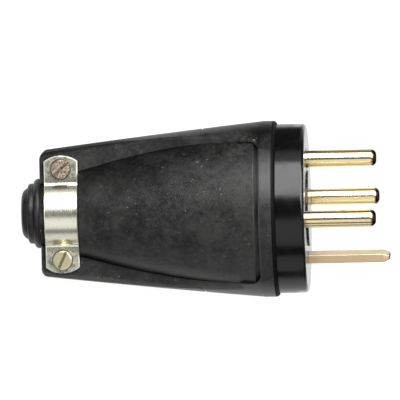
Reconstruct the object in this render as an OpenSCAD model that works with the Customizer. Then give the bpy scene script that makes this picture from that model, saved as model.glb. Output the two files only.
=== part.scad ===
// Rubber power plug with three round pins, a flat earth blade and a strap clamp for its cord.
// Lengths are millimetres and angles are degrees. The plug is drawn along its own axis, with the
// contact face at x = 0 and the pins pointing to +X, and is then laid down as it comes to rest.

/* [Pins] */
// Diameter of a round pin
pin_d = 5; // [4:0.1:6]
// Length of a round pin in front of the contact face
pin_len = 20.4; // [16:0.1:26]
// Length of the rounded tip of a round pin
pin_tip = 1.7; // [0.5:0.1:1.9]
// Diameter of the circle that the four contacts stand on
pin_circle_d = 29.2; // [27.5:0.1:30.5]
// Turn of the contact set about the axis of the plug
contact_turn = 8.6; // [0:0.1:25]

/* [Earth blade] */
// Width of the blade, along the contact circle
blade_w = 6; // [4.5:0.1:6.8]
// Thickness of the blade, across the contact circle
blade_t = 2.5; // [2:0.1:3.5]
// Length of the blade in front of the contact face
blade_len = 23.6; // [18:0.1:30]
// Length of the tapered tip of the blade
blade_tip = 1.8; // [0.5:0.1:3]
// Amount that each side of the blade draws in at its tip
blade_draw = 0.7; // [0.2:0.1:0.9]

/* [Contact roots] */
// Diameter of a round pin's shank inside the carrier
shank_d = 6.2; // [6:0.1:7]
// Depth of the shank's shoulder below the contact face
shank_sink = 0.2; // [0.1:0.05:0.5]
// Diameter of the flange that is trapped behind the carrier
root_flange_d = 8; // [7.6:0.1:8.8]
// Length of that flange
root_flange_len = 3; // [2:0.1:4]
// Diameter of the terminal stud behind the flange
stud_d = 6.8; // [6:0.1:7.2]
// Amount that the stud stands out of the retaining plate
stud_proud = 1.5; // [0.8:0.1:2.5]
// Side of the square washer on the stud
washer_w = 6.4; // [5.8:0.1:6.6]
// Thickness of that washer
washer_t = 1; // [0.6:0.1:1.4]

/* [Contact carrier] */
// Diameter of the carrier's flange
carrier_d = 49; // [46.5:0.1:50]
// Length of the carrier's flange
carrier_len = 8.3; // [7:0.1:12]
// Radius of the front edge of the flange
carrier_edge = 1.1; // [0.4:0.1:2]
// Diameter of the low raised disc between the contacts
disc_d = 22; // [14:0.1:22.4]
// Height of the low raised disc
disc_h = 0.6; // [0.3:0.1:1.2]
// Diameter of the spigot that the rubber mouth grips
spigot_d = 42.8; // [42:0.1:43.6]
// Length of the spigot
spigot_len = 6.2; // [5.6:0.1:8]
// Width of the snap groove round the spigot
snap_w = 2; // [1.2:0.1:2.4]
// Depth of the snap groove
snap_depth = 1.2; // [0.6:0.1:1.3]
// Distance of the snap groove behind the flange
snap_back = 2.1; // [1.5:0.1:2.8]

/* [Retaining plate] */
// Diameter of the retaining plate
plate_d = 39.6; // [38:0.1:39.8]
// Thickness of the retaining plate
plate_t = 3; // [2:0.1:4]
// Diameter of the threaded bush in the carrier
bush_d = 6; // [5:0.1:8]
// Length of the threaded bush
bush_len = 7.5; // [6:0.1:9]

/* [Screws] */
// Thread diameter of every screw
screw_d = 3; // [2.5:0.1:3.2]
// Diameter of a screw head
head_d = 5.5; // [5:0.1:5.8]
// Height of a screw head
head_h = 2; // [1.4:0.1:2.6]
// Radius of the edge of a screw head
head_edge = 0.3; // [0.1:0.1:0.8]
// Width of the slot in a screw head
slot_w = 0.8; // [0.5:0.05:1.2]
// Depth of the slot in a screw head
slot_depth = 0.9; // [0.4:0.05:1.2]
// Length of the thread of a terminal screw
terminal_thread = 6; // [4.5:0.1:7]
// Length of the thread of the plate screw
plate_thread = 9; // [7:0.1:10]
// Length of the thread of a clamp screw
clamp_thread = 20; // [19.6:0.1:25]
// Chamfer on the end of a clamp screw
thread_chamfer = 0.4; // [0.1:0.1:0.8]
// Turn of the two clamp screws' slots from the cord's direction
slot_turns = [25, 48]; // [0:1:180]

/* [Rubber housing] */
// Diameter of the rim at the mouth
rim_d = 51; // [50:0.1:54]
// Length of the rim
rim_len = 4.8; // [3.6:0.1:8]
// Radius of the rim's rear edge
rim_edge = 0.5; // [0.2:0.1:1]
// Radius of the rim's lip at the mouth
lip_edge = 1.1; // [0.4:0.1:1.6]
// Open joint between the rim and the carrier's flange
mouth_gap = 0.1; // [0.05:0.05:0.4]
// Diameter of the body where it meets the rim
barrel_d = 50.8; // [49.4:0.1:51]
// Length of the full round barrel behind the rim
barrel_len = 5.2; // [4:0.1:8]
// Length of the barrel's sloping shoulder
shoulder_run = 3; // [0.5:0.1:4]
// Drop of the barrel's sloping shoulder
shoulder_drop = 1.5; // [1:0.1:4]
// Length of the body from the rim to its rear end
body_len = 64.1; // [58:0.1:80]
// Width across the wings at the rear end
rear_w = 36.6; // [35.6:0.1:42]
// Bulge of the body's side above a straight taper
side_bulge = 0.2; // [0.1:0.05:0.8]
// Thickness of the flat wings at the rear
wing_t = 10.4; // [9:0.1:11.2]
// Length of the wings' flat part, from the rear end
wing_flat = 19.3; // [16:0.1:26]
// Radius of the curve that lifts the wings' faces to the barrel
wing_rise_r = 104; // [95:1:160]
// Distance of the moulding joint across the wings' edges from the rear end
joint_run = 47; // [40:0.1:52]
// Width of that joint
joint_w = 0.6; // [0.3:0.1:1.2]
// Depth of that joint
joint_depth = 0.2; // [0.1:0.05:0.5]
// Bevel along the edges of the wings
wing_bevel = 0.6; // [0.3:0.1:1.2]
// Corner radius at the rear of the wings
wing_corner = 2.8; // [0.5:0.1:4]
// Thickness of the rubber round the wiring space
wall_t = 3.2; // [2.6:0.1:4.5]
// Room left behind the heads of the terminal screws
terminal_room = 0.5; // [0.2:0.1:1.5]
// Length of the funnel that leads the cord's cores into the cord bore
funnel_len = 4.8; // [3:0.1:8]
// Length of full cord bore in front of the strap's neck
bore_lead = 1; // [0.5:0.1:3]

/* [Grip panel] */
// Diameter of the domed core at the front of the panel
core_front_d = 49.8; // [48.4:0.1:50.2]
// Diameter of the domed core at the rear end
core_rear_d = 20.8; // [20.4:0.1:23]
// Radius of the edge at the front of the core
core_edge = 0.8; // [0.2:0.1:1.2]
// Bulge of the core's side above a straight line
core_bulge = 0.8; // [0.4:0.1:1.6]
// Width of the panel's opening in the barrel
panel_w = 41.2; // [38:0.1:42]
// Corner radius at the front of the panel
panel_corner = 2.8; // [1:0.1:6]
// Width of the groove between the panel and the rim
panel_groove_w = 1.1; // [0.5:0.1:1.4]
// Depth of that groove below the panel
panel_groove_depth = 0.8; // [0.3:0.1:1.2]

/* [Cord nozzle] */
// Diameter of the cord bore
bore_d = 8; // [6:0.1:9]
// Diameters of the three rounded rings, from the body outwards
ring_d = [20.2, 17.5, 15.2]; // [14:0.1:22]
// Lengths of the three rings
ring_len = [1.5, 1.8, 1.8]; // [1:0.1:4]
// Edge radii of the three rings
ring_edge = [1.3, 1, 2.6]; // [0.5:0.1:3]
// Width of the groove between the body and the first ring
nozzle_groove_w = 0.5; // [0.3:0.1:1]
// Depth of that groove
nozzle_groove_depth = 0.8; // [0.3:0.1:1.2]

/* [Strap clamp] */
// Width of a strap, along the cord
strap_w = 9.8; // [8:0.1:11]
// Length of a strap from end to end
strap_len = 34.2; // [33:0.1:35.4]
// Thickness of a strap
strap_t = 1.2; // [0.8:0.1:1.6]
// Inside radius of a strap's arch
arch_r = 9.6; // [9:0.1:10]
// Inside radius of the bends between the arch and the ears
bend_r = 1.6; // [0.8:0.1:2.2]
// Radius of a strap's rounded ends
strap_end_r = 8; // [6:0.1:16]
// Rubber left between the strap and the rear end of the body
strap_back = 1.3; // [0.8:0.1:2]
// Distance between the two clamp screws
clamp_pitch = 26.4; // [26:0.1:27]
// Width of a clamp nut across its flats
nut_w = 5.5; // [5:0.1:6]
// Height of a clamp nut
nut_h = 2.4; // [1.8:0.1:3]

/* [Fits] */
// Gap between a contact and its hole in the carrier, or a thread and its nut
close_gap = 0.05; // [0.02:0.01:0.1]
// Gap round a screw's thread in a plain hole, all round
screw_gap = 0.15; // [0.05:0.05:0.3]
// Gap between the rubber and the pieces that it holds
rubber_gap = 0.1; // [0.05:0.05:0.2]

/* [Hidden] */
$fn = 96;

// Quarter turns of the contacts round the axis, from the edge of the first wing
pin_1_place = 0;
pin_2_place = 3;
pin_3_place = 1;
blade_place = 2;

// Room that a cutting shape takes beyond the piece that it cuts
over = 5;

// Stations along the axis, from the contact face backwards
flange_rear = -carrier_len;
spigot_rear = flange_rear - spigot_len;
snap_front = flange_rear - snap_back;
snap_rear = snap_front - snap_w;
plate_rear = spigot_rear - plate_t;
stud_rear = plate_rear - stud_proud;
washer_rear = stud_rear - washer_t;
shank_root = spigot_rear + root_flange_len / 2;
tap_spare = 1;
rim_front = flange_rear - mouth_gap;
rim_rear = rim_front - rim_len;
panel_front = rim_rear - panel_groove_w;
barrel_rear = rim_rear - barrel_len;
body_rear = rim_rear - body_len;
nozzle_root = body_rear - nozzle_groove_w;
nozzle_rear = nozzle_root - ring_len[0] - ring_len[1] - ring_len[2];
strap_rear = body_rear + strap_back;
strap_mid = strap_rear + strap_w / 2;
strap_front = strap_rear + strap_w;

// Side of the body: a taper with a slight bulge, drawn in short steps
side_steps = 12;
side_rise = (barrel_d - rear_w) / 2;
function side_share(s) = (s - body_rear) / body_len;
function side_r(s) = rear_w / 2 + side_share(s) * (side_rise + 4 * side_bulge * (1 - side_share(s)));
joint_rear = body_rear + joint_run;
joint_front = joint_rear + joint_w;

// Upper face of the wings: flat at the rear, then one arc that rises to the barrel
rise_s = body_rear + wing_flat;
wing_front = barrel_rear + shoulder_run / 2;
function wing_lift(run) = run > 0 ? wing_rise_r - sqrt(pow(wing_rise_r, 2) - pow(run, 2)) : 0;
function wing_h(s) = wing_t / 2 + wing_lift(s - rise_s);

// Height plus width of the wings' edge, less the bevel along it
function edge_sum(s) = wing_h(s) + sqrt(pow(side_r(s), 2) - pow(wing_h(s), 2)) - wing_bevel;

// Side of the domed core: one arc from the rear end to the panel's front, drawn in short steps
core_rise = (core_front_d - core_rear_d) / 2;
core_run = panel_front - body_rear;
core_chord = norm([core_run, core_rise]);
core_arc_r = (pow(core_chord / 2, 2) + pow(core_bulge, 2)) / (2 * core_bulge);
core_lean = atan2(core_rise, core_run);
core_arc_s = (panel_front + body_rear) / 2 + (core_arc_r - core_bulge) * sin(core_lean);
core_arc_y = (core_front_d + core_rear_d) / 4 - (core_arc_r - core_bulge) * cos(core_lean);
core_steps = 12;
function core_r(s, wall) = core_arc_y + sqrt(pow(core_arc_r - wall, 2) - pow(s - core_arc_s, 2));

// Inside of the housing: the room behind the spigot and the funnel to the cord bore
room_r = spigot_d / 2 - snap_depth;
seat_rear = spigot_rear - rubber_gap;
neck_front = strap_front + rubber_gap;
neck_rear = strap_rear - rubber_gap;
neck_r = arch_r - rubber_gap;
funnel_rear = neck_front + bore_lead;
funnel_front = funnel_rear + funnel_len;
room_rear = washer_rear - head_h - terminal_room;

// Stack of the clamp, measured from the axis
ear_low = wing_t / 2;
ear_high = ear_low + strap_t;
bend_z = ear_high + bend_r;
bend_y = sqrt(pow(arch_r + strap_t + bend_r, 2) - pow(bend_z, 2));
bend_angle = atan2(bend_z, bend_y);
screw_y = clamp_pitch / 2;
tip_drop = clamp_thread - ear_high;

// Rest: the rim's rear edge and the two clamp screws' ends touch the table
rim_arc_s = rim_rear + rim_edge;
rim_arc_r = rim_d / 2 - rim_edge;
tip_s = strap_mid - (screw_d / 2 - thread_chamfer);
rest_reach = norm([rim_arc_s - tip_s, rim_arc_r - tip_drop]);
rest_tilt = atan2(rim_arc_r - tip_drop, rim_arc_s - tip_s) + asin(rim_edge / rest_reach);
rest_lift = rim_arc_r * cos(rest_tilt) - rim_arc_s * sin(rest_tilt) + rim_edge;

// Ends of the plug as it lies, to centre it over the origin
circle_r = pin_circle_d / 2;
blade_low = (circle_r + blade_t / 2 - blade_draw) * sin(contact_turn)
    + (blade_w / 2 - blade_draw) * cos(contact_turn);
blade_reach = blade_len * cos(rest_tilt) + blade_low * sin(rest_tilt);
pin_low = circle_r * cos(contact_turn) + pin_d / 2 - pin_tip;
pin_reach = (pin_len - pin_tip) * cos(rest_tilt) + pin_low * sin(rest_tilt) + pin_tip;
front_reach = max(blade_reach, pin_reach);
rear_reach = (nozzle_rear + ring_edge[2]) * cos(rest_tilt)
    - (ring_d[2] / 2 - ring_edge[2]) * sin(rest_tilt) - ring_edge[2];
rest_shift = -(front_reach + rear_reach) / 2;

// Places the plug as it lies, strap upwards, with the pins a little raised
module lay() {
    translate([rest_shift, 0, rest_lift]) rotate([0, -rest_tilt, 0]) children();
}

// Turns what is drawn round Z to stand round the plug's axis
module along_axis() {
    rotate([0, 90, 0]) children();
}

// Solid round the axis, from a profile of radius against distance along the axis
module turned() {
    along_axis() rotate_extrude() children();
}

// Round bar on the axis between two stations
module bar(d, from, to) {
    translate([from, 0, 0]) along_axis() cylinder(d = d, h = to - from);
}

// Place of a contact, with its Y pointing outwards
module at_contact(place) {
    rotate([contact_turn + 90 * place, 0, 0]) translate([0, circle_r, 0]) children();
}

// Half profile of a disc whose outer edge at the far end is rounded
module rounded_profile(r, len, edge) {
    square([r, len - edge]);
    square([r - edge, len]);
    translate([r - edge, len - edge]) intersection() {
        circle(r = edge);
        square(edge);
    }
}

// Slotted cheese-head screw pointing to +X, with its head's seat at x = 0
module screw(thread_len, chamfer) {
    bar(screw_d, 0, thread_len - chamfer);
    translate([thread_len - chamfer, 0, 0]) along_axis()
        cylinder(d1 = screw_d, d2 = screw_d - 2 * chamfer, h = chamfer);
    difference() {
        along_axis() mirror([0, 0, 1]) rotate_extrude() rounded_profile(head_d / 2, head_h, head_edge);
        translate([-head_h - over, -head_d, -slot_w / 2]) cube([slot_depth + over, 2 * head_d, slot_w]);
    }
}

// Plan of the grip panel's opening in the barrel, with rounded front corners
module panel_plan() {
    corner_s = rim_rear - panel_corner;
    corner_y = panel_w / 2 - panel_corner;
    translate([body_rear, -panel_w / 2]) square([corner_s - body_rear, panel_w]);
    translate([body_rear, -corner_y]) square([rim_rear - body_rear, 2 * corner_y]);
    for (side = [-1, 1]) translate([corner_s, side * corner_y]) circle(r = panel_corner);
}

// Region inside the core's arc, moved inwards by a wall
module core_profile(wall, from, to) {
    polygon([
        [0, from],
        for (i = [0:core_steps]) let (s = from + (to - from) * i / core_steps) [core_r(s, wall), s],
        [0, to]
    ]);
}

// Domed core, with the neck for the strap cut round it
module core() {
    turned() difference() {
        intersection() {
            core_profile(0, body_rear, panel_front);
            translate([0, body_rear]) rounded_profile(core_front_d / 2, core_run, core_edge);
        }
        translate([neck_r, neck_rear]) square([rim_d, neck_front - neck_rear]);
    }
}

// Round taper of the body between two stations, let in by an amount
module side_profile(from, to, inset) {
    polygon([
        [0, from],
        for (i = [0:side_steps]) let (s = from + (to - from) * i / side_steps) [side_r(s) - inset, s],
        [0, to]
    ]);
}

// Side view of the wings: flat faces that rise to the barrel on both sides
module wing_side() {
    difference() {
        translate([body_rear, -rim_d / 2]) square([wing_front - body_rear, rim_d]);
        for (side = [0, 1]) mirror([0, side]) {
            translate([body_rear - over, wing_t / 2]) square([wing_flat + over, rim_d]);
            translate([rise_s, wing_t / 2 + wing_rise_r]) circle(r = wing_rise_r, $fn = 720);
        }
    }
}

// Plan of the wings' round rear corners
module rear_plan() {
    corner_s = body_rear + wing_corner;
    corner_y = side_r(corner_s) - wing_corner;
    translate([corner_s, -rim_d]) square([body_len, 2 * rim_d]);
    translate([body_rear, -corner_y]) square([body_len, 2 * corner_y]);
    for (side = [-1, 1]) translate([corner_s, side * corner_y]) circle(r = wing_corner);
}

// Plan that cuts the bevel along the wings' edges, once it is turned half a right angle
module bevel_plan() {
    run = wing_front - body_rear;
    for (side = [0, 1]) mirror([0, side]) polygon([
        [body_rear, 0],
        for (i = [0:side_steps]) let (s = body_rear + run * i / side_steps) [s, edge_sum(s) * cos(45)],
        [wing_front, 0]
    ]);
}

// Two flat wings in one slab, with beveled long edges and round rear corners
module wings() {
    intersection() {
        rotate([90, 0, 0]) linear_extrude(2 * rim_d, center = true) wing_side();
        linear_extrude(rim_d, center = true) rear_plan();
        intersection_for (turn = [-45, 45]) rotate([turn, 0, 0])
            linear_extrude(2 * rim_d, center = true) bevel_plan();
    }
}

// Round barrel behind the rim, left standing only beside the grip panels
module barrel() {
    shoulder_r = side_r(barrel_rear);
    difference() {
        turned() polygon([
            [0, barrel_rear - shoulder_run],
            [shoulder_r - shoulder_drop, barrel_rear - shoulder_run],
            [shoulder_r + shoulder_drop, barrel_rear + shoulder_run],
            [shoulder_r + shoulder_drop, rim_arc_s],
            [0, rim_arc_s]
        ]);
        linear_extrude(2 * rim_d, center = true) panel_plan();
    }
}

// Wings and barrel, both cut to the round taper of the body
module body() {
    intersection() {
        union() {
            wings();
            barrel();
        }
        turned() {
            side_profile(body_rear, joint_rear, 0);
            side_profile(joint_rear, joint_front, joint_depth);
            side_profile(joint_front, rim_arc_s, 0);
        }
    }
}

// Rim with its lip and rear edge rounded, and the floor of the groove behind it
module rim() {
    turned() {
        translate([0, rim_front - rim_len / 2]) {
            rounded_profile(rim_d / 2, rim_len / 2, lip_edge);
            mirror([0, 1]) rounded_profile(rim_d / 2, rim_len / 2, rim_edge);
        }
        translate([0, panel_front - panel_groove_w])
            square([core_front_d / 2 - panel_groove_depth, 2 * panel_groove_w + rim_len / 2]);
    }
}

// Three rounded rings that step down to the end of the cord nozzle
module nozzle() {
    bar(ring_d[0] - 2 * nozzle_groove_depth, nozzle_root - ring_len[0] / 2, body_rear + strap_back);
    turned() translate([0, nozzle_root]) mirror([0, 1]) {
        rounded_profile(ring_d[0] / 2, ring_len[0], ring_edge[0]);
        rounded_profile(ring_d[1] / 2, ring_len[0] + ring_len[1], ring_edge[1]);
        rounded_profile(ring_d[2] / 2, ring_len[0] + ring_len[1] + ring_len[2], ring_edge[2]);
    }
}

// Hollow of the housing: mouth, room behind the spigot, wiring space and cord bore
module housing_hollow() {
    bar(spigot_d + 2 * rubber_gap, seat_rear, rim_front + over);
    bar(2 * room_r, room_rear, seat_rear + snap_back);
    turned() {
        intersection() {
            core_profile(wall_t, funnel_front, room_rear + snap_back);
            translate([0, funnel_front]) square([room_r, room_rear + snap_back - funnel_front]);
        }
        polygon([
            [0, funnel_rear],
            [bore_d / 2, funnel_rear],
            [core_r(funnel_front, wall_t), funnel_front],
            [0, funnel_front]
        ]);
    }
    bar(bore_d, nozzle_rear - over, funnel_rear + over);
}

// Bead inside the mouth, which snaps into the carrier's groove
module snap_bead() {
    turned() translate([spigot_d / 2 - snap_depth + rubber_gap, snap_rear + rubber_gap])
        square([snap_depth + wall_t / 2, snap_w - 2 * rubber_gap]);
}

module rubber_housing() {
    color("#30302f") lay() {
        difference() {
            union() {
                core();
                body();
                rim();
                nozzle();
            }
            housing_hollow();
            for (side = [-1, 1]) translate([strap_mid, side * screw_y, -rim_d])
                cylinder(d = screw_d + 2 * screw_gap, h = 2 * rim_d);
        }
        snap_bead();
    }
}

module contact_carrier() {
    color("#17171a") lay() difference() {
        union() {
            turned() {
                translate([0, flange_rear]) rounded_profile(carrier_d / 2, carrier_len, carrier_edge);
                translate([0, flange_rear]) rounded_profile(disc_d / 2, carrier_len + disc_h, disc_h / 2);
            }
            bar(spigot_d, spigot_rear, flange_rear + carrier_len / 2);
        }
        turned() translate([spigot_d / 2 - snap_depth, snap_rear]) square([snap_depth + over, snap_w]);
        for (place = [pin_1_place, pin_2_place, pin_3_place, blade_place]) at_contact(place) {
            bar(root_flange_d + 2 * close_gap, spigot_rear - over, spigot_rear + root_flange_len);
            if (place == blade_place) {
                translate([spigot_rear, -blade_t / 2 - close_gap, -blade_w / 2 - close_gap])
                    cube([-spigot_rear + over, blade_t + 2 * close_gap, blade_w + 2 * close_gap]);
            } else {
                bar(shank_d + 2 * close_gap, spigot_rear, over);
            }
        }
        bar(bush_d + 2 * close_gap, spigot_rear - over, spigot_rear + bush_len);
    }
}

module retaining_plate() {
    color("#6e4a2e") lay() difference() {
        bar(plate_d, plate_rear, spigot_rear);
        for (place = [0:3]) at_contact(place)
            bar(stud_d + 2 * close_gap, plate_rear - over, spigot_rear + over);
        bar(screw_d + 2 * screw_gap, plate_rear - over, spigot_rear + over);
    }
}

module plate_screw() {
    color("#cdb97e") lay() translate([plate_rear, 0, 0]) screw(plate_thread, thread_chamfer);
}

module threaded_bush() {
    color("#c9a45c") lay() difference() {
        bar(bush_d, spigot_rear, spigot_rear + bush_len);
        bar(screw_d + 2 * close_gap, spigot_rear - over, spigot_rear + bush_len + over);
    }
}

// Contact: its drawn shank, with the flange and the tapped stud at its rear
module contact() {
    difference() {
        union() {
            bar(root_flange_d, spigot_rear, spigot_rear + root_flange_len);
            bar(stud_d, stud_rear, shank_root);
            children();
        }
        bar(screw_d + 2 * close_gap, stud_rear - over, washer_rear + terminal_thread + tap_spare);
    }
}

module line_pin(place) {
    color("#d3ad62") lay() at_contact(place) contact() {
        bar(shank_d, shank_root, -shank_sink);
        turned() translate([0, shank_root]) rounded_profile(pin_d / 2, pin_len - shank_root, pin_tip);
    }
}

// Side of the blade with its tapered tip
module blade_side(wide) {
    taper_s = blade_len - blade_tip;
    polygon([
        [shank_root, -wide / 2],
        [taper_s, -wide / 2],
        [blade_len, blade_draw - wide / 2],
        [blade_len, wide / 2 - blade_draw],
        [taper_s, wide / 2],
        [shank_root, wide / 2]
    ]);
}

module earth_blade() {
    color("#bd9a68") lay() at_contact(blade_place) contact() intersection() {
        rotate([90, 0, 0]) linear_extrude(blade_t, center = true) blade_side(blade_w);
        linear_extrude(blade_w, center = true) blade_side(blade_t);
    }
}

module terminal_screw(place) {
    color("#cdb97e") lay() at_contact(place) translate([washer_rear, 0, 0])
        screw(terminal_thread, thread_chamfer);
}

module clamp_washer(place) {
    color("#c9c2ad") lay() at_contact(place) difference() {
        translate([washer_rear, -washer_w / 2, -washer_w / 2]) cube([washer_t, washer_w, washer_w]);
        bar(screw_d + 2 * screw_gap, washer_rear - over, stud_rear + over);
    }
}

// Section of the upper strap across the cord: an arch, two bends and two flat ears
module strap_section() {
    difference() {
        circle(r = arch_r + strap_t);
        circle(r = arch_r);
        polygon([
            [0, 0],
            2 * [bend_y, bend_z],
            [2 * bend_y, -over * arch_r],
            [-2 * bend_y, -over * arch_r],
            2 * [-bend_y, bend_z]
        ]);
    }
    for (side = [0, 1]) mirror([side, 0]) {
        translate([bend_y, ear_low]) square([strap_len / 2 - bend_y, strap_t]);
        translate([bend_y, bend_z]) difference() {
            intersection() {
                circle(r = bend_r + strap_t);
                polygon([[0, 0], -over * [bend_y, bend_z], [0, -over * bend_z]]);
            }
            circle(r = bend_r);
        }
    }
}

// Plan of a strap with its ends rounded
module strap_plan() {
    end_y = strap_len / 2 - strap_end_r;
    intersection() {
        translate([strap_rear, -strap_len / 2]) square([strap_w, strap_len]);
        union() {
            translate([strap_rear, -end_y]) square([strap_w, 2 * end_y]);
            for (side = [-1, 1]) translate([strap_mid, side * end_y]) circle(r = strap_end_r);
        }
    }
}

module strap(side) {
    color("#cbc4af") lay() mirror([0, 0, side < 0 ? 1 : 0]) difference() {
        intersection() {
            translate([strap_rear, 0, 0]) rotate([90, 0, 90]) linear_extrude(strap_w) strap_section();
            linear_extrude(rim_d) strap_plan();
        }
        for (end = [-1, 1]) translate([strap_mid, end * screw_y, 0])
            cylinder(d = screw_d + 2 * screw_gap, h = rim_d);
    }
}

module clamp_screw(end) {
    color("#c8b583") lay() translate([strap_mid, end * screw_y, ear_high]) rotate([0, 90, 0])
        rotate([end < 0 ? slot_turns[0] : slot_turns[1], 0, 0]) screw(clamp_thread, thread_chamfer);
}

module clamp_nut(end) {
    color("#c9c2ad") lay() translate([strap_mid, end * screw_y, -ear_high - nut_h]) difference() {
        cylinder(d = nut_w / cos(30), h = nut_h, $fn = 6);
        translate([0, 0, -over]) cylinder(d = screw_d + 2 * close_gap, h = nut_h + 2 * over);
    }
}

rubber_housing();
contact_carrier();
retaining_plate();
plate_screw();
threaded_bush();
line_pin(pin_1_place);  // line_pin_1
line_pin(pin_2_place);  // line_pin_2
line_pin(pin_3_place);  // line_pin_3
earth_blade();
terminal_screw(pin_1_place);  // terminal_screw_1
terminal_screw(pin_2_place);  // terminal_screw_2
terminal_screw(pin_3_place);  // terminal_screw_3
terminal_screw(blade_place);  // earth_terminal_screw
clamp_washer(pin_1_place);  // clamp_washer_1
clamp_washer(pin_2_place);  // clamp_washer_2
clamp_washer(pin_3_place);  // clamp_washer_3
clamp_washer(blade_place);  // earth_clamp_washer
strap(1);  // upper_strap
strap(-1);  // lower_strap
clamp_screw(1);  // clamp_screw_1
clamp_screw(-1);  // clamp_screw_2
clamp_nut(1);  // clamp_nut_1
clamp_nut(-1);  // clamp_nut_2
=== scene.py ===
import math

import bmesh
import bpy
from mathutils import Matrix, Vector


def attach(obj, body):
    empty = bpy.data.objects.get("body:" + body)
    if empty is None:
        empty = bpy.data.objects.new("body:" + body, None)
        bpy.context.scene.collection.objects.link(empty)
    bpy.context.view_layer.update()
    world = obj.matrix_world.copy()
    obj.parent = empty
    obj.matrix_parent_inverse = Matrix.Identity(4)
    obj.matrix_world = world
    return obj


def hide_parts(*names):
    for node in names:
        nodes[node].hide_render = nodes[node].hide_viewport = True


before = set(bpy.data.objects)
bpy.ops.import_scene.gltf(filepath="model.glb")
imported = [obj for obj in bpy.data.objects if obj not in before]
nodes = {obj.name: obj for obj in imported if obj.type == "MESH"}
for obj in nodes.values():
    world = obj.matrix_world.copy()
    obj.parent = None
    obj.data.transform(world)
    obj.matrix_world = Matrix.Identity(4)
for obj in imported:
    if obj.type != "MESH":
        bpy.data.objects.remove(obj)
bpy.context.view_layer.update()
scene = bpy.context.scene
print("loaded", len(nodes), "solids")

# shapes are drawn along the plug's own axis, in mm, and laid down with the pins raised
mm = 0.001
rest = {"tilt": 11.319116, "shift": 29.143753, "lift": 27.506402}
layDown = (
    Matrix.Scale(mm, 4)
    @ Matrix.Translation((rest["shift"], 0, rest["lift"]))
    @ Matrix.Rotation(-math.radians(rest["tilt"]), 4, "Y")
)

# where the clamp screws stand, along the plug and to either side of its axis
clampAt = {"along": -71.1, "across": 13.2}


class Wire:
    # a socket that can be used in sums; each sum adds a Math node
    def __init__(self, tree, socket=None):
        self.tree = tree
        self.socket = socket

    def make(self, kind, settings=None, inputs=None, out=0):
        node = self.tree.nodes.new("ShaderNode" + kind)
        for key, value in (settings or {}).items():
            setattr(node, key, value)
        for key, value in (inputs or {}).items():
            if isinstance(value, Wire):
                self.tree.links.new(value.socket, node.inputs[key])
            else:
                node.inputs[key].default_value = value
        return Wire(self.tree, node.outputs[out])

    def sum(self, how, a, b):
        return self.make("Math", {"operation": how}, {0: a, 1: b})

    def __add__(self, other):
        return self.sum("ADD", self, other)

    def __sub__(self, other):
        return self.sum("SUBTRACT", self, other)

    def __mul__(self, other):
        return self.sum("MULTIPLY", self, other)

    def __rsub__(self, other):
        return self.sum("SUBTRACT", other, self)

    __radd__ = __add__
    __rmul__ = __mul__

    def __abs__(self):
        return self.make("Math", {"operation": "ABSOLUTE"}, {0: self})

    def root(self):
        return self.make("Math", {"operation": "SQRT"}, {0: self})

    def most(self, other):
        return self.sum("MAXIMUM", self, other)

    # soft step from 0 at start to 1 at end; a start above the end makes it fall instead
    def step(self, start, end):
        smooth = {"interpolation_type": "SMOOTHSTEP"}
        return self.make("MapRange", smooth, {0: self, 1: start, 2: end})

    # the first colour where this is 0, the second where it is 1
    def tint(self, first, second):
        return self.make("Mix", {"data_type": "RGBA"}, {0: self, 6: first, 7: second}, 2)


def rgb(r, g, b):
    return (r, g, b, 1.0)


def grey(tone):
    return rgb(tone, tone, tone)


# a new material with its shader, and the plug's own coordinates in mm:
# x along the axis to the pins, y across, z up through the upper strap
def newFinish(name, **fixed):
    material = bpy.data.materials.new(name)
    material.use_nodes = True
    tree = material.node_tree
    shader = tree.nodes["Principled BSDF"]
    for key, value in fixed.items():
        shader.inputs[key.replace("_", " ")].default_value = value
    placed = Wire(tree).make("TexCoord", out="Object")
    layout = {
        "Vector": placed,
        "Location": (rest["shift"] * mm, 0, rest["lift"] * mm),
        "Rotation": (0, -math.radians(rest["tilt"]), 0),
        "Scale": (mm, mm, mm),
    }
    return material, shader, placed.make("Mapping", {"vector_type": "TEXTURE"}, layout)


def feed(shader, **wires):
    for key, wire in wires.items():
        wire.tree.links.new(wire.socket, shader.inputs[key.replace("_", " ")])


def along(where, axis):
    return where.make("SeparateXYZ", None, {0: where}, "xyz".index(axis))


# 1 between low and high, fading over the given run
def between(wire, low, high, run):
    return wire.step(low - run, low) * wire.step(high + run, high)


# squared distance in mm from the nearer clamp screw's axis
def fromScrew(where):
    x = along(where, "x") - clampAt["along"]
    y = abs(along(where, "y")) - clampAt["across"]
    return x * x + y * y


def noise(where, scale, detail=3.0, rough=0.55, stretch=None):
    if stretch:
        drawn = {"Vector": where, "Scale": stretch}
        where = where.make("Mapping", {"vector_type": "POINT"}, drawn)
    look = {"Vector": where, "Scale": scale, "Detail": detail, "Roughness": rough}
    return where.make("TexNoise", None, look)


# height goes in and out by depth in mm
def bump(height, depth, strength):
    look = {"Height": height, "Distance": depth * mm, "Strength": strength}
    return height.make("Bump", None, look)


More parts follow.
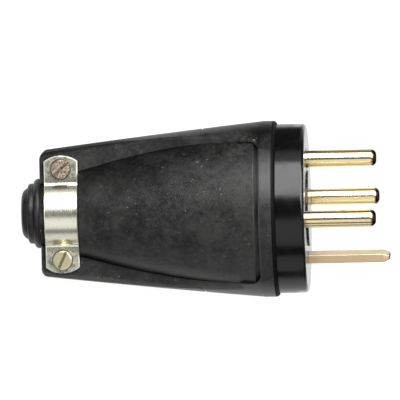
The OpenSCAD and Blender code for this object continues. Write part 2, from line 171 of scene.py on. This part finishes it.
# moulded rubber, dusty and blotchy, with painted light on the panel's front, crown and lower side,
# painted highlights along the groove's edges, and painted shade in its creases and groove, round its
# front lip and beside the straps;
# pairs are where a soft step or a thin line starts and ends, in mm or in noise
rubber = {
    "base": (0.0010, 0.0010, 0.0010), "wornAndLit": (0.0230, 0.0230, 0.0221), "rough": 0.285, "gloss": 0.52,
    "dustAndLitTone": (0.16, 0.16, 0.15), "specks": 0.72, "edgeHighlight": 0.16,
    "blotches": (0.44, 0.76), "flecks": (0.715, 0.765), "drifts": (0.46, 0.60),
    "shadeAndGrime": (0.0015, 0.0015, 0.0015), "shadeRough": 0.8, "shadeGloss": 0.06,
    "wing": 5.2, "riseFrom": -58.0, "riseRadius": 104.0, "side": 27.6, "taper": 0.12,
    "core": (0.03, 0.12), "body": (-77.6, -77.3), "rim": (-14.3, -13.2), "rimShade": 0.07,
    "lip": (-9.6, -9.4), "lipShadow": 0.92,
    "groove": (-14.25, -13.25), "grooveEnds": (20, 18), "grooveUp": (-10, 4), "grooveShade": (0.2, 0.45),
    "grooveEdges": ((-13.15, -12.80), (-14.65, -14.35)), "edgeEnds": (20, 14),
    "strapEdges": ((-66.2, -65.8), (-76.4, -76.0)), "strapEnds": (15.6, 14.6), "strapShadowsAndDirt": 0.6,
}

# noise on the rubber: scale, detail and roughness
rubberNoise = {
    "clouds": (0.16, 4, 0.55), "mottle": (0.70, 3, 0.6), "grain": (2.6, 4, 0.65), "fine": (7.0, 2, 0.6),
    "flecks": (1.5, 1, 0.4), "drifts": (0.35, 2, 0.55),
}

# painted light and painted shade: how strong, and soft steps along x and y, up over the wings and out to
# their sides
paintedLightAndShade = {
    # the first five are painted light, paler where light falls on the front, crown and lower side; the
    # rest are painted shade in the creases, on the upper slope and shoulder, and at the tail's upper
    # edge and end
    "litFront": {"share": 0.07, "x": (-48, -16), "y": (14, 2)},
    "litCrown": {"share": 0.05, "x": (-42, -20), "y": (3, 7), "yEnd": (16, 12)},
    "litTail": {"share": 0.06, "x": (-38, -56), "y": (-1, -9)},
    "litLowEdge": {"share": 0.33, "out": (-2.4, -0.4), "y": (-2, -6)},
    "litLowSide": {"share": 0.33, "out": (-6.5, 0.4), "x": (-46, -26), "y": (-2, -6)},
    "crease": {"share": 0.18, "up": (2.4, 0.5)},
    "rearCrease": {"share": 0.72, "up": (2.4, 0.5), "x": (-18, -38)},
    "tailCrease": {"share": 0.9, "up": (4.0, 0.9), "x": (-42, -62)},
    "slope": {"share": 0.72, "up": (8.5, 0.1), "x": (-18, -36), "y": (1, 5)},
    "shoulder": {"share": 0.6, "x": (-20, -52), "y": (3.5, 12.5)},
    "tailEdge": {"share": 0.7, "out": (-1.8, -0.8), "x": (-42, -58), "y": (6, 12)},
    "tailEnd": {"share": 0.2, "x": (-54, -74), "xEnd": (-42, -58), "y": (6, 12)},
}


# height in mm over the wings' faces, on either side
def overWing(where):
    run = (along(where, "x") - rubber["riseFrom"]).most(0)
    rise = rubber["riseRadius"] - (rubber["riseRadius"] ** 2 - run * run).root()
    return abs(along(where, "z")) - rise - rubber["wing"]


# 1 along two thin lines round the plug
def twoLines(x, lines, run):
    (lowA, highA), (lowB, highB) = lines
    return between(x, lowA, highA, run).most(between(x, lowB, highB, run))


def rubberFinish():
    material, shader, where = newFinish("mouldedRubber", Specular_IOR_Level=rubber["gloss"])
    x = along(where, "x")
    y = along(where, "y")
    across = abs(y)
    above = overWing(where)
    outer = across - x * rubber["taper"] - rubber["side"]
    ways = {"x": x, "xEnd": x, "y": y, "yEnd": y, "up": above, "out": outer}
    onCore = above.step(*rubber["core"])
    onRim = x.step(*rubber["rim"])
    paintedMarks = {}
    for name, look in paintedLightAndShade.items():
        paintedMarks[name] = look["share"]
        for way, ends in look.items():
            if way != "share":
                paintedMarks[name] = ways[way].step(*ends) * paintedMarks[name]
    clouds, mottle, grain, fine, flecks, drifts = (noise(where, *look) for look in rubberNoise.values())
    specks = flecks.step(*rubber["flecks"]) * drifts.step(*rubber["drifts"])

    # blotchy colour, with painted light on the panel's front, crown and lower tail and painted shade on
    # the rim, and dust on top
    paintedLightAndRimShade = (paintedMarks["litFront"] + paintedMarks["litCrown"]) * (1 - onRim) + paintedMarks["litTail"]
    paintedLightAndRimShade = paintedLightAndRimShade * onCore - onRim * rubber["rimShade"]
    shade = (clouds * 0.45 + mottle * 0.45 + grain * 0.25 + paintedLightAndRimShade).step(*rubber["blotches"])
    colour = shade.tint(rgb(*rubber["base"]), rgb(*rubber["wornAndLit"]))
    # painted highlights along the groove's edges and painted light along the lower side, mixed into the
    # tint of the real dust specks
    edges = twoLines(x, rubber["grooveEdges"], 0.1) * across.step(*rubber["edgeEnds"])
    dustAndPaintedLight = (specks * rubber["specks"]).most(edges * rubber["edgeHighlight"])
    dustAndPaintedLight = dustAndPaintedLight.most(paintedMarks["litLowEdge"]).most(paintedMarks["litLowSide"])
    colour = dustAndPaintedLight.tint(colour, rgb(*rubber["dustAndLitTone"]))
    roughness = rubber["rough"] + clouds * 0.08 + mottle * 0.06 + grain * 0.08 + specks * 0.2
    height = mottle * 0.45 + grain * 0.6 + fine * 0.4 + specks * 0.5
    feed(shader, Base_Color=colour, Roughness=roughness, Normal=bump(height, 0.10, 0.6))

    # painted shade through a dull dark shader: in the creases, on the upper slope and shoulder, along
    # the tail's upper edge and end, in the groove (more on its upper side), round the front lip, and as
    # a shadow line beside the straps
    shadeAndGrime = (paintedMarks["crease"] + paintedMarks["rearCrease"]).most(paintedMarks["tailCrease"])
    shadeAndGrime = shadeAndGrime.most(paintedMarks["slope"]).most(paintedMarks["shoulder"]) * onCore
    shadeAndGrime = shadeAndGrime.most(paintedMarks["tailEdge"]).most(paintedMarks["tailEnd"]) * x.step(*rubber["body"])
    least, more = rubber["grooveShade"]
    groove = between(x, *rubber["groove"], 0.05) * across.step(*rubber["grooveEnds"])
    groove = groove * (least + y.step(*rubber["grooveUp"]) * more)
    lip = x.step(*rubber["lip"]) * rubber["lipShadow"]
    strapShadow = twoLines(x, rubber["strapEdges"], 0.15) * across.step(*rubber["strapEnds"])
    shadeAndGrime = shadeAndGrime.most(groove).most(lip).most(strapShadow * rubber["strapShadowsAndDirt"])
    shadeAndDirt = {
        "Base Color": rgb(*rubber["shadeAndGrime"]),
        "Roughness": rubber["shadeRough"],
        "Specular IOR Level": rubber["shadeGloss"],
    }
    bare = Wire(where.tree, shader.outputs[0])
    paintedShadeShader = where.make("BsdfPrincipled", None, shadeAndDirt)
    mixed = where.make("MixShader", None, {0: shadeAndGrime, 1: bare, 2: paintedShadeShader})
    where.tree.links.new(mixed.socket, where.tree.nodes["Material Output"].inputs["Surface"])
    return material


# polished black moulding of the contact carrier, with faint scuffs along it
phenolic = {
    "base": (0.0016, 0.0016, 0.0018), "haze": (0.0040, 0.0040, 0.0044), "rough": 0.16, "gloss": 0.38,
    "scuffs": (0.5, 3.0, 3.0),
}


def phenolicFinish():
    material, shader, where = newFinish("polishedPhenolic", Specular_IOR_Level=phenolic["gloss"])
    clouds = noise(where, 0.22, 4)
    scuffs = noise(where, 1.0, 5, 0.7, phenolic["scuffs"])
    shade = (clouds * 0.6 + scuffs * 0.5).step(0.40, 0.85)
    colour = shade.tint(rgb(*phenolic["base"]), rgb(*phenolic["haze"]))
    roughness = phenolic["rough"] + shade * 0.12
    feed(shader, Base_Color=colour, Roughness=roughness, Normal=bump(scuffs, 0.02, 0.3))
    return material


# turned brass of the pins and drawn brass of the blade, dark at the tips
pinBrass = {
    "base": (0.84, 0.72, 0.43), "tarnish": (0.62, 0.45, 0.22), "rough": 0.15,
    "lines": (9.0, 0.6, 0.6), "tip": (18.6, 19.5), "tipDark": (0.010, 0.008, 0.005), "tipShare": 0.96,
}
bladeBrass = {
    "base": (0.66, 0.51, 0.33), "tarnish": (0.48, 0.35, 0.21), "rough": 0.42,
    "lines": (0.8, 4.0, 4.0), "tip": (23.2, 23.4), "tipDark": (0.010, 0.008, 0.005), "tipShare": 0.96,
}


def brassFinish(name, look):
    material, shader, where = newFinish(name, Metallic=1.0)
    blotch = noise(where, 0.5, 4)
    turned = noise(where, 1.0, 2, 0.5, look["lines"])
    tarnish = (blotch * 0.8 + turned * 0.3).step(0.60, 0.90)
    colour = tarnish.tint(rgb(*look["base"]), rgb(*look["tarnish"]))
    tip = along(where, "x").step(*look["tip"]) * look["tipShare"]
    colour = tip.tint(colour, rgb(*look["tipDark"]))
    roughness = look["rough"] + tarnish * 0.15 + turned * 0.06
    feed(shader, Base_Color=colour, Roughness=roughness, Normal=bump(turned, 0.02, 0.08))
    return material


# dull nickel plating of the straps, nuts and washers
nickel = {
    "base": (0.86, 0.84, 0.71), "stain": (0.58, 0.54, 0.38), "rough": 0.22, "lines": (6.0, 0.5, 0.5),
    "blotch": 0.6, "spread": (0.58, 0.92), "pits": 0.03, "shadeAndGrime": 0.85, "shadeAndDirt": (0.020, 0.016, 0.010),
}

# yellow passivated steel of the screws, and the same rusted through
passivated = {
    "base": (0.92, 0.84, 0.53), "stain": (0.52, 0.43, 0.23), "rough": 0.29, "lines": (1.5, 1.5, 1.5),
    "blotch": 0.6, "spread": (0.58, 0.92), "pits": 0.03, "shadeAndGrime": 0.60, "shadeAndDirt": (0.020, 0.016, 0.010),
}
rusted = {
    "base": (0.66, 0.55, 0.45), "stain": (0.13, 0.090, 0.060), "rough": 0.36, "lines": (2.0, 2.0, 2.0),
    "blotch": 1.7, "spread": (0.42, 0.66), "pits": 0.16, "shadeAndGrime": 0.35, "shadeAndDirt": (0.020, 0.016, 0.010),
}

# painted shade in the screws' slots, by height and squared distance from the screw
slotShadeAt = {"deep": (7.3, 8.15), "run": 0.1, "within": (6.8, 5.8)}


def slotShade(where):
    deep = between(along(where, "z"), *slotShadeAt["deep"], slotShadeAt["run"])
    return deep * fromScrew(where).step(*slotShadeAt["within"])


# on the straps: a painted shadow ring round each head, painted shade on one leg of the arch, and dirt
# patches on the ears
strapShadowsAndDirtAt = {
    "ring": (10.2, 8.4), "leg": (5.8, 8.2), "legRun": 0.3, "legShare": 0.55,
    "ear": (10.2, 11.0), "earWithin": (26, 14), "patch": (0.47, 0.60), "patches": 0.6,
}


def strapShadowsAndDirt(where):
    y = along(where, "y")
    leg = between(y, *strapShadowsAndDirtAt["leg"], strapShadowsAndDirtAt["legRun"]) * strapShadowsAndDirtAt["legShare"]
    ears = abs(y).step(*strapShadowsAndDirtAt["ear"]) * fromScrew(where).step(*strapShadowsAndDirtAt["earWithin"])
    patches = noise(where, 0.75, 4, 0.65).step(*strapShadowsAndDirtAt["patch"]) * ears * strapShadowsAndDirtAt["patches"]
    return fromScrew(where).step(*strapShadowsAndDirtAt["ring"]).most(leg).most(patches)


# rims of the straps, rubbed dull: half a width, the ends' bow, and a little on the whole ear
strapRims = {"side": (4.55, 4.70), "bowFrom": 9.1, "bow": (59, 61), "ear": (10.3, 11.3), "earShare": 0.2}


def rimWear(where):
    x = along(where, "x") - clampAt["along"]
    y = abs(along(where, "y"))
    out = (y - strapRims["bowFrom"]).most(0)
    ends = (x * x + out * out).step(*strapRims["bow"])
    ears = y.step(*strapRims["ear"]) * strapRims["earShare"]
    return abs(x).step(*strapRims["side"]).most(ends).most(ears)


def platedFinish(name, look, shadeAndDirtOf, wearOf=None):
    material, shader, where = newFinish(name, Metallic=1.0)
    blotch = noise(where, look["blotch"], 5, 0.6)
    brushed = noise(where, 1.0, 3, 0.6, look["lines"])
    stain = (blotch * 0.75 + brushed * 0.35).step(*look["spread"])
    colour = stain.tint(rgb(*look["base"]), rgb(*look["stain"]))
    # darkened where the mask says: painted shade and shadow from the slot and strap masks, and dirt
    # patches on the ears
    colour = (shadeAndDirtOf(where) * look["shadeAndGrime"]).tint(colour, rgb(*look["shadeAndDirt"]))
    roughness = look["rough"] + stain * 0.2 + brushed * 0.08
    if wearOf:
        roughness = roughness + wearOf(where) * 0.35
    pitted = bump(brushed * 0.6 + blotch * 0.4, look["pits"], 0.3)
    feed(shader, Base_Color=colour, Roughness=roughness, Normal=pitted)
    return material


# sawn laminate of the plate behind the carrier
laminate = {
    "base": (0.16, 0.075, 0.035), "dark": (0.09, 0.042, 0.020), "rough": 0.55, "layers": (6.0, 0.4, 0.4),
}


def laminateFinish():
    material, shader, where = newFinish("sawnLaminate")
    layers = noise(where, 1.0, 3, 0.6, laminate["layers"])
    colour = layers.tint(rgb(*laminate["base"]), rgb(*laminate["dark"]))
    roughness = laminate["rough"] + layers * 0.15
    feed(shader, Base_Color=colour, Roughness=roughness, Normal=bump(layers, 0.04, 0.4))
    return material


finishes = {
    "housing_rubber": rubberFinish(),
    "carrier_phenolic": phenolicFinish(),
    "plate_laminate": laminateFinish(),
    "pin_brass": brassFinish("turnedBrass", pinBrass),
    "blade_brass": brassFinish("tarnishedBrass", bladeBrass),
    "screw_steel": platedFinish("passivatedSteel", passivated, slotShade),
    "strap_steel": platedFinish("dullNickel", nickel, strapShadowsAndDirt, rimWear),
}
rustedSteel = platedFinish("rustedSteel", rusted, slotShade)
slotOf = {}
for nodeName, node in nodes.items():
    slotOf[nodeName] = node.data.materials[0].name.split(".")[0]
    node.data.materials[0] = finishes[slotOf[nodeName]]
print("finishes", len(finishes))

# what counts as one point when a shape is merged, and as a sliver when it is cut, in mm
weld = {"merge": 0.001, "sliver": 0.002}


# a solid's own shape in mm along the plug, merged, with its sharp edges rounded as far as they allow
def softened(nodeName, edge):
    flat, sharp = math.radians(edge["flat"]), math.radians(edge["sharp"])
    bm = bmesh.new()
    bm.from_mesh(nodes[nodeName].data)
    bmesh.ops.transform(bm, matrix=layDown.inverted(), verts=bm.verts)
    bmesh.ops.remove_doubles(bm, verts=bm.verts, dist=weld["merge"])
    bmesh.ops.dissolve_limit(bm, angle_limit=flat, verts=bm.verts, edges=bm.edges)
    bmesh.ops.bevel(
        bm, geom=[e for e in bm.edges if e.is_manifold and e.calc_face_angle() > sharp],
        offset=edge["round"], offset_type="OFFSET", affect="EDGES", segments=edge["steps"],
        profile=0.5, material=-1, clamp_overlap=True,
    )
    bmesh.ops.dissolve_degenerate(bm, dist=weld["sliver"], edges=bm.edges)
    return bm


# lays a finished shape down in its place, where it stands for one solid
def addPiece(name, bm, nodeName, finish=None):
    bmesh.ops.transform(bm, matrix=layDown, verts=bm.verts)
    for face in bm.faces:
        face.smooth = True
    mesh = bpy.data.meshes.new(name)
    bm.to_mesh(mesh)
    bm.free()
    slotName = slotOf[nodeName]
    mesh.materials.append(finish or finishes[slotName])
    piece = bpy.data.objects.new(name, mesh)
    scene.collection.objects.link(piece)
    piece.modifiers.new("flatFaces", "WEIGHTED_NORMAL")
    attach(piece, "root")
    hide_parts(nodeName)


# strap bands with rolled edges
strapEdge = {"flat": 0.3, "sharp": 40, "round": 0.22, "steps": 3}
for strapNode in ("upper_strap", "lower_strap"):
    addPiece(strapNode + ".band", softened(strapNode, strapEdge), strapNode)

# clamp screws: slotted heads from their solids, over a rolled thread
clampScrew = {
    "pitch": 0.5, "outer": 1.49, "core": 1.2, "crest": (0.42, 0.58), "steps": 20,
    "seat": 6.4, "tip": -13.5,
}
headEdge = {"flat": 0.3, "sharp": 40, "round": 0.10, "steps": 2}


# cuts a shape off at one height, above it or below, and closes the cut
def cutSquare(bm, z, way):
    cut = bmesh.ops.bisect_plane(
        bm, geom=bm.verts[:] + bm.edges[:] + bm.faces[:], plane_co=(0, 0, z), plane_no=(0, 0, way),
        clear_outer=True, dist=weld["sliver"],
    )
    rimEdges = [e for e in cut["geom_cut"] if isinstance(e, bmesh.types.BMEdge)]
    bmesh.ops.holes_fill(bm, edges=rimEdges, sides=0)


# one turn's profile, spun up from below the tip to above the seat and cut to length
def rolledThread(look, across):
    bm = bmesh.new()
    axis = clampAt["along"]
    low = look["tip"] - 2 * look["pitch"]
    turns = math.ceil((look["seat"] - low) / look["pitch"]) + 2
    rise, fall = look["crest"]
    profile = ((look["core"], 0), (look["outer"], rise), (look["outer"], fall), (look["core"], 1))
    corners = [
        bm.verts.new((axis + radius, across, low + look["pitch"] * share)) for radius, share in profile
    ]
    sides = [bm.edges.new(pair) for pair in zip(corners, corners[1:])]
    bmesh.ops.spin(
        bm, geom=corners + sides, cent=(axis, across, 0), axis=(0, 0, 1), angle=2 * math.pi * turns,
        dvec=(0, 0, look["pitch"] / look["steps"]), steps=look["steps"] * turns,
    )
    bmesh.ops.remove_doubles(bm, verts=bm.verts, dist=weld["sliver"])
    cutSquare(bm, look["seat"], 1)
    cutSquare(bm, look["tip"], -1)
    bmesh.ops.recalc_face_normals(bm, faces=bm.faces)
    return bm


# the first screw is the rusted one
for screwNode, side, finish in (("clamp_screw_1", 1, rustedSteel), ("clamp_screw_2", -1, None)):
    bm = softened(screwNode, headEdge)
    cutSquare(bm, clampScrew["seat"], -1)
    thread = rolledThread(clampScrew, side * clampAt["across"])
    joined = bpy.data.meshes.new("thread")
    thread.to_mesh(joined)
    thread.free()
    bm.from_mesh(joined)
    bpy.data.meshes.remove(joined)
    addPiece(screwNode + ".slotted", bm, screwNode, finish)

# nuts and blade with broken edges
nutEdge = {"flat": 0.3, "sharp": 40, "round": 0.15, "steps": 2}
for nutNode in ("clamp_nut_1", "clamp_nut_2"):
    addPiece(nutNode + ".hex", softened(nutNode, nutEdge), nutNode)
bladeEdge = {"flat": 0.3, "sharp": 15, "round": 0.30, "steps": 3}
addPiece("earth_blade.bar", softened("earth_blade", bladeEdge), "earth_blade")

# moulded housing; its shortest edges hold the rounding back, so its edges are only just broken
mouldEdge = {"flat": 0.15, "sharp": 28, "round": 0.28, "steps": 3}
addPiece("rubber_housing.moulding", softened("rubber_housing", mouldEdge), "rubber_housing")
print("pieces")

# floor, room and soft studio light, in m
studio = {
    "floor": 6.0, "floorTone": 0.08, "glow": 0.97, "room": 0.03, "cardsFrom": 0.80, "cardsAim": 0.02,
    "sheetsUnder": 0.001,
}

# light cards: degrees from straight above towards +Y and towards +X, width, height and radiance
cards = {
    "keyBox": (37.5, 20.5, 1.1, 0.78, 7.7),
    "spillCard": (75, 6, 1.1, 0.34, 0.75),
    "fillCard": (-29, 0, 1.1, 0.55, 0.95),
    "lowCard": (-77, 0, 1.1, 0.38, 0.78),
    "frontCard": (0, 74, 0.9, 0.40, 0.8),
    "rearCard": (0, -68, 0.9, 0.40, 0.8),
}
for cardName, (angle, lean, wide, tall, radiance) in cards.items():
    way = Vector((math.tan(math.radians(lean)), math.tan(math.radians(angle)), 1)).normalized()
    light = bpy.data.lights.new(cardName, "AREA")
    light.shape = "RECTANGLE"
    light.size, light.size_y = wide, tall
    light.energy = radiance * math.pi * wide * tall
    lamp = bpy.data.objects.new(cardName, light)
    scene.collection.objects.link(lamp)
    lamp.location = way * studio["cardsFrom"] + Vector((0, 0, studio["cardsAim"]))
    lamp.rotation_euler = way.to_track_quat("Z", "Y").to_euler()

# the room is dim, but pale where it is looked at
world = bpy.data.worlds.new("studioRoom")
scene.world = world
world.use_nodes = True
seen = Wire(world.node_tree).make("LightPath", out="Is Camera Ray")
roomTone = seen.tint(grey(studio["room"]), grey(studio["glow"]))
world.node_tree.links.new(roomTone.socket, world.node_tree.nodes["Background"].inputs["Color"])


def plainGlow(name, strength, albedo):
    material = bpy.data.materials.new(name)
    material.use_nodes = True
    shader = material.node_tree.nodes["Principled BSDF"]
    shader.inputs["Base Color"].default_value = grey(albedo)
    shader.inputs["Roughness"].default_value = 1.0
    shader.inputs["Specular IOR Level"].default_value = 0.0
    shader.inputs["Emission Color"].default_value = grey(1.0)
    shader.inputs["Emission Strength"].default_value = strength
    return material


def stageMesh(name, bm, material):
    mesh = bpy.data.meshes.new(name)
    bm.to_mesh(mesh)
    bm.free()
    mesh.materials.append(material)
    obj = bpy.data.objects.new(name, mesh)
    scene.collection.objects.link(obj)
    return obj


bm = bmesh.new()
bmesh.ops.create_grid(bm, x_segments=2, y_segments=2, size=studio["floor"])
floor = stageMesh("floor", bm, plainGlow("paleFloor", studio["glow"], studio["floorTone"]))
floor.visible_glossy = False

# what the table throws back into the gloss: low ends and high ends in mm, and how bright
tableGlow = {
    "glowUnder": ((-75, -45), (30, 42), 0.85),
    "glowFront": ((30, -45), (75, 42), 1.25),
    "glowFar": ((36, 42), (75, 140), 0.40),
    "glowNear": ((-75, -170), (75, -45), 0.78),
}
for glowName, (low, high, bright) in tableGlow.items():
    wide, deep = ((high[i] - low[i]) * mm for i in range(2))
    middle = ((low[0] + high[0]) / 2 * mm, (low[1] + high[1]) / 2 * mm, -studio["sheetsUnder"])
    bm = bmesh.new()
    bmesh.ops.create_grid(bm, x_segments=1, y_segments=1, size=0.5)
    bmesh.ops.scale(bm, verts=bm.verts, vec=(wide, deep, 1))
    bmesh.ops.translate(bm, verts=bm.verts, vec=middle)
    sheet = stageMesh(glowName, bm, plainGlow(glowName, bright, 0.0))
    sheet.visible_camera = False
    sheet.visible_diffuse = False
    sheet.visible_shadow = False
print("floor and light")

# camera over the plug, swung a little towards its upper wing and leaned towards the pins;
# distance and field are in m, along and above say where it looks in mm
shot = {
    "distance": 4.0, "field": 0.116, "sensor": 36, "clip": (0.01, 50),
    "lean": 3.1, "swing": 4.0, "roll": 1.16, "along": -31.2, "above": 2.97,
}
lean, swing, roll = (math.radians(shot[key]) for key in ("lean", "swing", "roll"))
plugTurn = layDown.to_3x3().normalized()
axisWay = plugTurn @ Vector((1, 0, 0))
nearWay = plugTurn @ Vector((0, math.sin(swing), math.cos(swing)))
upWay = plugTurn @ Vector((0, math.cos(swing), -math.sin(swing)))
back = nearWay * math.cos(lean) + axisWay * math.sin(lean)
side = axisWay * math.cos(lean) - nearWay * math.sin(lean)
right = side * math.cos(roll) - upWay * math.sin(roll)
up = back.cross(right)
aim = layDown @ Vector((shot["along"], 0, 0)) + upWay * shot["above"] * mm
cameraData = bpy.data.cameras.new("camera")
cameraData.sensor_width = shot["sensor"]
cameraData.lens = shot["sensor"] * shot["distance"] / shot["field"]
cameraData.clip_start, cameraData.clip_end = shot["clip"]
camera = bpy.data.objects.new("camera", cameraData)
scene.collection.objects.link(camera)
turn = Matrix((right, up, back)).transposed().to_4x4()
camera.matrix_world = Matrix.Translation(aim + back * shot["distance"]) @ turn
scene.camera = camera
scene.view_settings.view_transform = "Standard"
scene.view_settings.look = "None"
print("camera")
